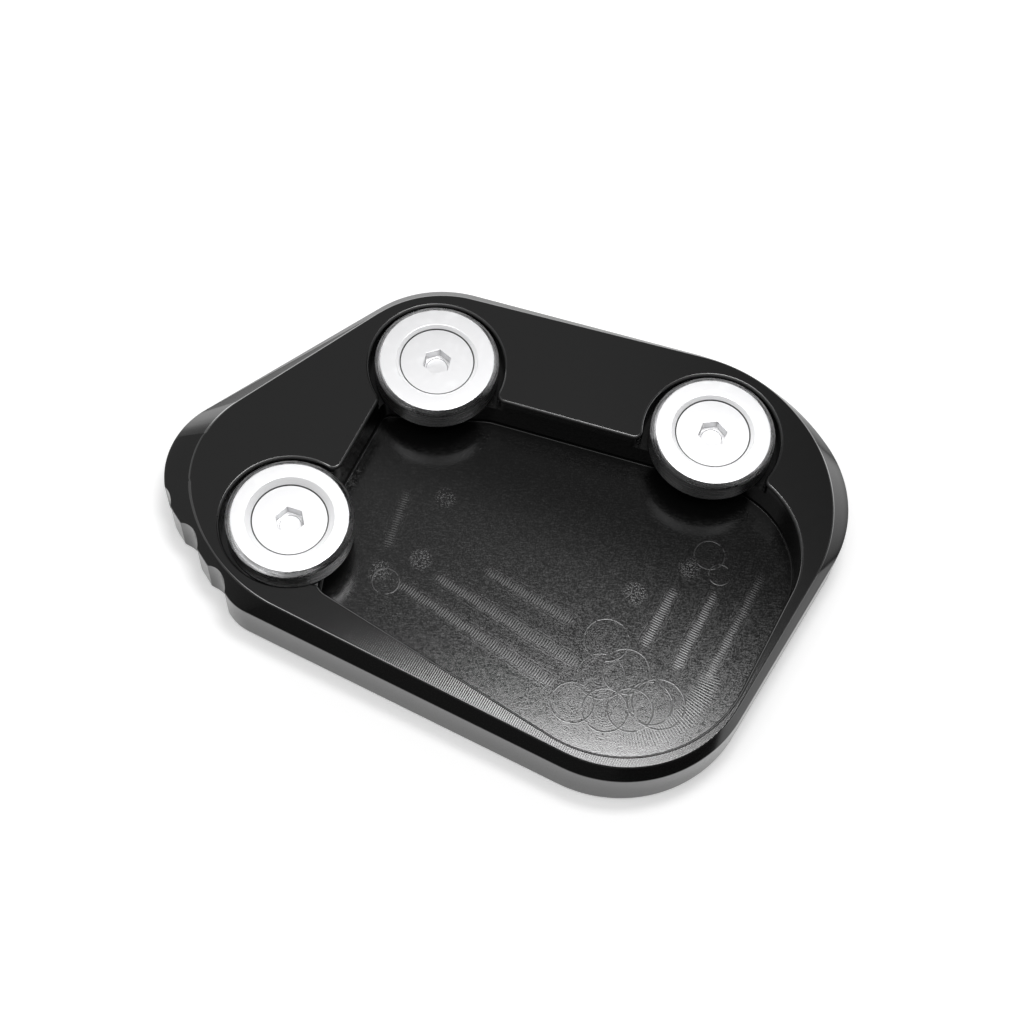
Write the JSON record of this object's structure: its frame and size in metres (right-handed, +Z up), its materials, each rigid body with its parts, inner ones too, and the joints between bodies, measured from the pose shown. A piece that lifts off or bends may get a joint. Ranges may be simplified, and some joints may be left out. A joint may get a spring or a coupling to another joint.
{
  "type": "kickstand foot enlarger",
  "caption": "Bevelled black alloy plate with a deep foot pocket, thick clamp washers on countersunk screws and a scalloped edge, to widen a side stand's foot.",
  "frame": {"origin": "middle of the plate's outline on its flat ground face", "axes": "+Z up out of the pocket, +X along the plate's long side towards the corner with the widest washer spacing, +Y towards the two rear washers"},
  "size_m": [0.11, 0.0828, 0.0115],
  "materials": {
    "black_anodised": "black anodised, satin, with end mill marks",
    "bare_washer": "bare, turned",
    "bare_screw": "bright zinc"
  },
  "bodies": {
    "root": {"plate": "black_anodised", "washer_left": "bare_washer", "washer_rear": "bare_washer", "washer_right": "bare_washer", "screw_left": "bare_screw", "screw_rear": "bare_screw", "screw_right": "bare_screw"}
  },
  "joints": []
}
